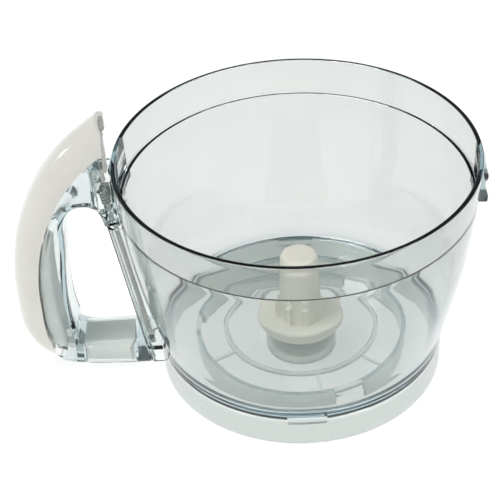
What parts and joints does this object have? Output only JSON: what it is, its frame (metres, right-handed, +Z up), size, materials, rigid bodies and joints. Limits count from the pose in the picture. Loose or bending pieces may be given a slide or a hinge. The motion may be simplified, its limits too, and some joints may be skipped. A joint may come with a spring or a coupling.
{
  "type": "food processor bowl",
  "caption": "Clear food processor bowl with a hollow looped handle, white handle cover, sprung lid interlock rod and a lift-out splined drive spindle.",
  "frame": {"origin": "under the middle of the whole part's box, on the surface it stands on", "axes": "+Z up along the bowl's axis, handle towards -X, bowl towards +X"},
  "size_m": [0.25, 0.1884, 0.1579],
  "materials": {
    "clear_plastic": "clear, polished, faint blue-green tint",
    "white_plastic": "glossy warm white",
    "inner_plastic": "satin pale grey-white",
    "bearing_plastic": "satin natural",
    "seal_rubber": "matt",
    "steel": "plain, lightly brushed"
  },
  "bodies": {
    "bowl_body": {"bowl": "clear_plastic", "rod_channel": "clear_plastic", "handle_frame": "clear_plastic", "handle_insert": "inner_plastic", "handle_cover": "white_plastic", "cover_screw_upper": "steel", "cover_screw_lower": "steel", "arm_screw": "steel", "rod_spring": "steel", "boss_seal": "seal_rubber"},
    "interlock": {"interlock_rod": "bearing_plastic", "rod_head": "white_plastic", "rod_clip": "steel"},
    "bearing": {"spindle_bush": "bearing_plastic", "thrust_washer": "steel"},
    "spindle_body": {"spindle": "white_plastic", "drive_insert": "steel", "retaining_ring": "steel"}
  },
  "joints": [
    {"name": "interlock_press", "type": "slide", "parent": "bowl_body", "child": "interlock", "axis": [0.1551, 0, -0.9879], "range_m": [0, 0.006], "stiffness_N_per_m": 250, "springref_m": -0.003, "deforming": ["rod_spring"]},
    {"name": "spindle_lift", "type": "slide", "parent": "bowl_body", "child": "bearing", "axis": [0, 0, 1], "range_m": [0, 0.07]},
    {"name": "spindle_spin", "type": "hinge", "parent": "bearing", "child": "spindle_body", "pos_m": [0.02765, 0, 0.02], "axis": [0, 0, 1], "continuous": true}
  ]
}
